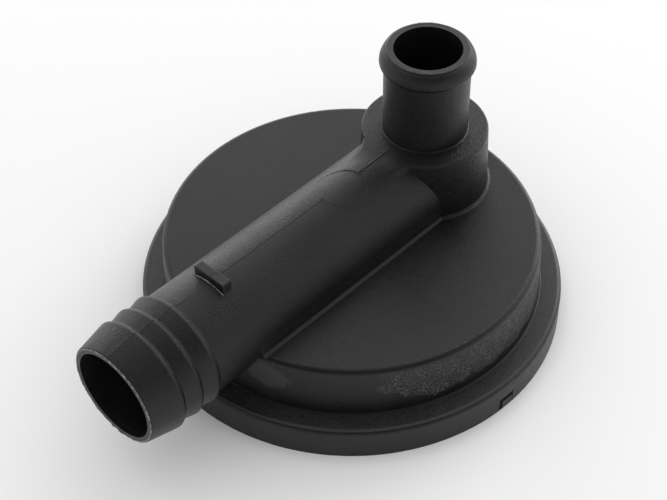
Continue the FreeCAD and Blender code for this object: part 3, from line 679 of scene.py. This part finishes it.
# Support plate: disc of unpigmented nylon with ribs and a ring that keeps the spring in the middle.
# It lies on the diaphragm and closes on the seat when it is sucked up.

support_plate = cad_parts["support_plate"]
CREAM_NYLON, PALE_NYLON = (0.56, 0.52, 0.42), (0.64, 0.60, 0.50)
RUBBED_PALE_NYLON = (0.74, 0.71, 0.63)


def make_plate_nylon():
    material, tree, shader, place = new_finish("plate_nylon")
    grain, drift, worn = add_moulded_surface(tree, place, wear=0.4)
    tone = blend_colour(tree, fade(tree, drift, 0.3, 0.7), CREAM_NYLON, PALE_NYLON)
    tone = blend_colour(tree, worn, tone, RUBBED_PALE_NYLON)
    join(tree, tone, shader.inputs["Base Color"])
    join(tree, fade(tree, drift, 0.3, 0.7, 0.38, 0.48), shader.inputs["Roughness"])
    shader.inputs["Subsurface Weight"].default_value = 0.1
    shader.inputs["Subsurface Radius"].default_value = (1.2 * MM, 1.0 * MM, 0.7 * MM)
    add_bump(tree, shader, grain, 0.02 * MM)
    return material


dress(support_plate, make_plate_nylon())

# Diaphragm: one skin of dark rubber with a clamped rim bead, a flat web, a round fold and a middle
# disc. The skin is made as two turned pieces that meet on the fold's crest: the outer one is held
# by the rim, and the inner one follows the support plate.

diaphragm_low, diaphragm_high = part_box("diaphragm")
plate_low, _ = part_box("support_plate")
_, cover_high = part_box("bottom_cover")
RUBBER, HUB_RADIUS = 0.7 * MM, 0.02 * MM
RIM_HEIGHT, RIM_WIDTH, BEAD_EDGE = 1.4 * MM, 3.9 * MM, 0.3 * MM
WEB_WIDTH, FOLD_WIDTH = 4.3 * MM, 6.4 * MM
DISC_LOW, DISC_HIGH = diaphragm_low.z, plate_low.z
RIM_LOW, RIM_HIGH = cover_high.z, cover_high.z + RIM_HEIGHT
RIM_INNER, RIM_OUTER = diaphragm_high.x - RIM_WIDTH, diaphragm_high.x
FOLD_OUTER = RIM_INNER - WEB_WIDTH
FOLD_INNER = FOLD_OUTER - FOLD_WIDTH
FOLD_CENTRE = (FOLD_INNER + FOLD_OUTER) / 2
FOLD_RADIUS = FOLD_WIDTH / 2
WEB_LOW = (RIM_LOW + RIM_HIGH - RUBBER) / 2
WEB_HIGH = WEB_LOW + RUBBER
BLACK_RUBBER, BLOOMED_RUBBER = (0.016, 0.015, 0.014), (0.040, 0.038, 0.036)


def make_diaphragm_rubber():
    """Cloth-backed rubber with a grey bloom."""
    material, tree, shader, place = new_finish("diaphragm_rubber")
    bloom = mottle(tree, place, 6 * MM, detail=4.0, rough=0.6)
    tone = blend_colour(tree, bloom, BLACK_RUBBER, BLOOMED_RUBBER)
    join(tree, tone, shader.inputs["Base Color"])
    join(tree, fade(tree, bloom, 0.3, 0.7, 0.55, 0.75), shader.inputs["Roughness"])
    add_bump(tree, shader, mottle(tree, place, 0.3 * MM, detail=2.0), 0.03 * MM)
    return material


def fold_arc(radius, start, end, steps=14):
    """Points of the fold's half circle, from one angle to another in degrees."""
    points = []
    for step in range(steps + 1):
        angle = math.radians(start + (end - start) * step / steps)
        points.append((FOLD_CENTRE + radius * math.cos(angle), RIM_HIGH + radius * math.sin(angle)))
    return points


def fold_wall(radius, foot, shares):
    """Points of the straight wall between the disc and the fold, at shares of its height."""
    return [(radius, foot + (RIM_HIGH - foot) * share) for share in shares]


def turned_piece(name, outline, material, body, steps=144):
    """A closed outline of (radius, height) turned round the drum's axis."""
    points = []
    for step in range(steps):
        angle = 2 * math.pi * step / steps
        x, y = math.cos(angle), math.sin(angle)
        points += [(radius * x, radius * y, height) for radius, height in outline]
    faces = grid_faces(steps, len(outline), closed_rows=True, closed_columns=True)
    return new_piece(name, points, faces, material, body)


def outer_outline():
    """From the fold's crest down to the web, round the rim bead and back under the fold."""
    bead = [
        (RIM_INNER, WEB_HIGH),
        (RIM_INNER, RIM_HIGH - BEAD_EDGE),
        (RIM_INNER + BEAD_EDGE, RIM_HIGH),
        (RIM_OUTER - BEAD_EDGE, RIM_HIGH),
        (RIM_OUTER, RIM_HIGH - BEAD_EDGE),
        (RIM_OUTER, RIM_LOW + BEAD_EDGE),
        (RIM_OUTER - BEAD_EDGE, RIM_LOW),
        (RIM_INNER + BEAD_EDGE, RIM_LOW),
        (RIM_INNER, RIM_LOW + BEAD_EDGE),
        (RIM_INNER, WEB_LOW),
    ]
    above = fold_arc(FOLD_RADIUS, 90, 0) + [(FOLD_OUTER, WEB_HIGH)]
    below = [(FOLD_OUTER - RUBBER, WEB_LOW)] + fold_arc(FOLD_RADIUS - RUBBER, 0, 90)
    return above + bead + below


def inner_outline():
    """From the fold's crest down to the disc, in to the axis and back under the disc."""
    above = fold_arc(FOLD_RADIUS, 90, 180)
    above += fold_wall(FOLD_INNER, DISC_HIGH, (0.75, 0.5, 0.25, 0.0))
    hub = [(HUB_RADIUS, DISC_HIGH), (HUB_RADIUS, DISC_LOW)]
    below = fold_wall(FOLD_INNER + RUBBER, DISC_LOW, (0.0, 0.2, 0.4, 0.6, 0.8))
    return above + hub + below + fold_arc(FOLD_RADIUS - RUBBER, 180, 90)


rubber = make_diaphragm_rubber()
outer_skin = turned_piece(
    "diaphragm_outer_skin", outer_outline(), rubber, "housing"
)
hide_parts("diaphragm")
inner_skin = turned_piece("diaphragm_inner_skin", inner_outline(), rubber, None)
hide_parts("diaphragm")
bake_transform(inner_skin)

# Bottom cover: black nylon disc that snaps into the skirt and clamps the diaphragm's rim. Its tabs
# fill the notches in the skirt's lower edge, and films of painted shade darken the gaps above and
# beside them.

bottom_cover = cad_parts["bottom_cover"]
COVER_BLACK, COVER_GREY = (0.013, 0.0127, 0.0122), (0.020, 0.0195, 0.019)
TAB_FACE, TAB_TOP, TAB_HALF_WIDTH = flange_radius - 0.03 * MM, 2.85 * MM, 1.8 * MM
TAB_COUNT, FIRST_TAB_BEARING = 3, -92.5
# Width and foot of the painted shade in the gaps round each tab.
GAP_SHADE_WIDTH, GAP_SHADE_FOOT = 0.7 * MM, 0.2 * MM


def make_cover_nylon():
    material, tree, shader, place = new_finish("cover_nylon")
    grain, drift, worn = add_moulded_surface(tree, place, wear=0.6)
    tone = blend_colour(tree, fade(tree, drift, 0.35, 0.65), COVER_BLACK, COVER_GREY)
    tone = blend_colour(tree, worn, tone, RUBBED_NYLON)
    join(tree, tone, shader.inputs["Base Color"])
    shader.inputs["Specular IOR Level"].default_value = 0.4
    join(tree, fade(tree, drift, 0.3, 0.7, 0.42, 0.52), shader.inputs["Roughness"])
    add_bump(tree, shader, grain, 0.04 * MM)
    return material


dress(bottom_cover, make_cover_nylon())


def make_painted_gap_shade(number, bearing):
    """Painted shade in the gaps along the top and one side of a tab, as an L-shaped film on its flat
    face.
    """
    outward = Vector((math.cos(math.radians(bearing)), math.sin(math.radians(bearing)), 0))
    along = UP.cross(outward)
    left, right = -TAB_HALF_WIDTH, TAB_HALF_WIDTH
    inner_edge = left + GAP_SHADE_WIDTH
    lower_edge = TAB_TOP - GAP_SHADE_WIDTH
    upright = [(left, TAB_TOP), (left, GAP_SHADE_FOOT), (inner_edge, GAP_SHADE_FOOT)]
    bar = [(inner_edge, lower_edge), (right, lower_edge), (right, TAB_TOP), (inner_edge, TAB_TOP)]
    points = [outward * TAB_FACE + along * across + UP * up for across, up in upright + bar]
    faces = [(0, 1, 2, 3, 6), (3, 4, 5, 6)]
    new_piece("painted_gap_shade_%d" % number, points, faces, seam_shade)


for number in range(TAB_COUNT):
    make_painted_gap_shade(number, FIRST_TAB_BEARING + 360 / TAB_COUNT * number)

# Table: matt white board under the valve. It keeps the valve's shadow, and further out the eye and
# the reflections see it run into the white behind it, like a paper sweep.

TABLE_HALF, TABLE_DROP = 3.0, 0.05 * MM
SWEEP_START, SWEEP_END = 0.09, 0.24
BOARD_WHITE, BOARD_BRIGHT = (0.90, 0.90, 0.90), (0.93, 0.93, 0.93)


def make_white_board():
    material, tree, shader, place = new_finish("white_board")
    tone = blend_colour(tree, mottle(tree, place, 0.2), BOARD_WHITE, BOARD_BRIGHT)
    join(tree, tone, shader.inputs["Base Color"])
    shader.inputs["Roughness"].default_value = 0.85
    shader.inputs["Specular IOR Level"].default_value = 0.0
    rays = tree.nodes.new("ShaderNodeLightPath").outputs
    seen = work_out(tree, "MAXIMUM", rays["Is Camera Ray"], rays["Is Glossy Ray"])
    seen = work_out(tree, "MAXIMUM", seen, rays["Is Transmission Ray"])
    across, _, _ = round_the_drum(tree, place)
    sweep = times(tree, seen, fade(tree, across, SWEEP_START, SWEEP_END))
    white = tree.nodes.new("ShaderNodeEmission")
    mix = tree.nodes.new("ShaderNodeMixShader")
    join(tree, sweep, mix.inputs[0])
    join(tree, shader.outputs[0], mix.inputs[1])
    join(tree, white.outputs[0], mix.inputs[2])
    join(tree, mix.outputs[0], tree.nodes["Material Output"].inputs["Surface"])
    return material


def make_table():
    mesh = bpy.data.meshes.new("table")
    signs = ((-1, -1), (1, -1), (1, 1), (-1, 1))
    corners = [(x * TABLE_HALF, y * TABLE_HALF, -TABLE_DROP) for x, y in signs]
    mesh.from_pydata(corners, [], [(0, 1, 2, 3)])
    mesh.materials.append(make_white_board())
    table = bpy.data.objects.new("table", mesh)
    bpy.context.scene.collection.objects.link(table)


make_table()

# Light: a white room that is dim where the photographer stands, a large soft light above the valve,
# and two low ones behind it and to its right, which give the plastic its long highlights.

DAYLIGHT = 0.86
PHOTOGRAPHER_SIDE = (-0.52, -0.49, 0.70)
DIM_EDGE, DIM_MIDDLE, DIM_GLOW = 0.3, 0.8, 0.18


def make_room():
    """White to the eye, plain daylight on the valve, and dim on one side in its reflections."""
    world = bpy.data.worlds.new("studio")
    bpy.context.scene.world = world
    world.use_nodes = True
    tree = world.node_tree
    rays = tree.nodes.new("ShaderNodeLightPath").outputs
    mirrored = work_out(tree, "MAXIMUM", rays["Is Glossy Ray"], rays["Is Transmission Ray"])
    direction = tree.nodes.new("ShaderNodeTexCoord").outputs["Generated"]
    towards = turn_between(tree, direction, PHOTOGRAPHER_SIDE)
    reflection = times(tree, mirrored, fade(tree, towards, DIM_EDGE, DIM_MIDDLE, 1.0, DIM_GLOW))
    daylight = fade(tree, mirrored, 1.0, 0.0, 0.0, DAYLIGHT)
    lit = work_out(tree, "MAXIMUM", plus(tree, reflection, daylight), rays["Is Camera Ray"])
    tree.nodes["Background"].inputs["Color"].default_value = (1, 1, 1, 1)
    join(tree, lit, tree.nodes["Background"].inputs["Strength"])


def add_softbox(name, bearing, elevation, width, height, radiance, distance=0.9):
    """A soft light that faces the valve, by its bearing from +X and its elevation in degrees."""
    flat, up = math.radians(bearing), math.radians(elevation)
    towards = Vector((math.cos(flat) * math.cos(up), math.sin(flat) * math.cos(up), math.sin(up)))
    lamp = bpy.data.lights.new(name, "AREA")
    lamp.shape = "RECTANGLE"
    lamp.size, lamp.size_y = width, height
    lamp.energy = radiance * math.pi * width * height
    box = bpy.data.objects.new(name, lamp)
    facing = towards.to_track_quat("Z", "Y").to_matrix().to_4x4()
    box.matrix_world = Matrix.Translation(towards * distance) @ facing
    bpy.context.scene.collection.objects.link(box)


make_room()
add_softbox("top_softbox", bearing=30, elevation=66, width=0.9, height=0.9, radiance=0.35)
add_softbox("back_softbox", bearing=60, elevation=9, width=0.7, height=0.28, radiance=3.0)
add_softbox("right_softbox", bearing=4, elevation=16, width=0.6, height=0.45, radiance=3.4)

# Camera: where the photograph was taken from, as fitted to the flange, the drum and both pipe
# mouths. Its angles turn it from looking along +Y, its distance is from the origin, and the shift
# gives the photograph's framing.

PHOTO_WIDTH = 667
CAMERA_AZIMUTH = math.radians(-46.82)
CAMERA_ELEVATION = math.radians(46.704)
CAMERA_ROLL = math.radians(-0.129)
CAMERA_DISTANCE = 0.34226
FOCAL_PIXELS = 1563.0
CENTRE_SHIFT_RIGHT, CENTRE_SHIFT_DOWN = 18.45, 41.74


def place_camera():
    level = Vector((math.cos(CAMERA_AZIMUTH), math.sin(CAMERA_AZIMUTH), 0))
    ahead = UP.cross(level)
    back = UP * math.sin(CAMERA_ELEVATION) - ahead * math.cos(CAMERA_ELEVATION)
    upward = back.cross(level)
    right = level * math.cos(CAMERA_ROLL) + upward * math.sin(CAMERA_ROLL)
    up = upward * math.cos(CAMERA_ROLL) - level * math.sin(CAMERA_ROLL)
    lens = bpy.data.cameras.new("camera")
    lens.sensor_width = 36.0
    lens.lens = FOCAL_PIXELS * lens.sensor_width / PHOTO_WIDTH
    lens.shift_x = -CENTRE_SHIFT_RIGHT / PHOTO_WIDTH
    lens.shift_y = CENTRE_SHIFT_DOWN / PHOTO_WIDTH
    lens.clip_start, lens.clip_end = 0.01, 20
    camera = bpy.data.objects.new("camera", lens)
    turn = Matrix((right, up, back)).transposed().to_4x4()
    camera.matrix_world = Matrix.Translation(back * CAMERA_DISTANCE) @ turn
    bpy.context.scene.collection.objects.link(camera)
    bpy.context.scene.camera = camera


place_camera()
bpy.context.scene.view_settings.view_transform = "Standard"
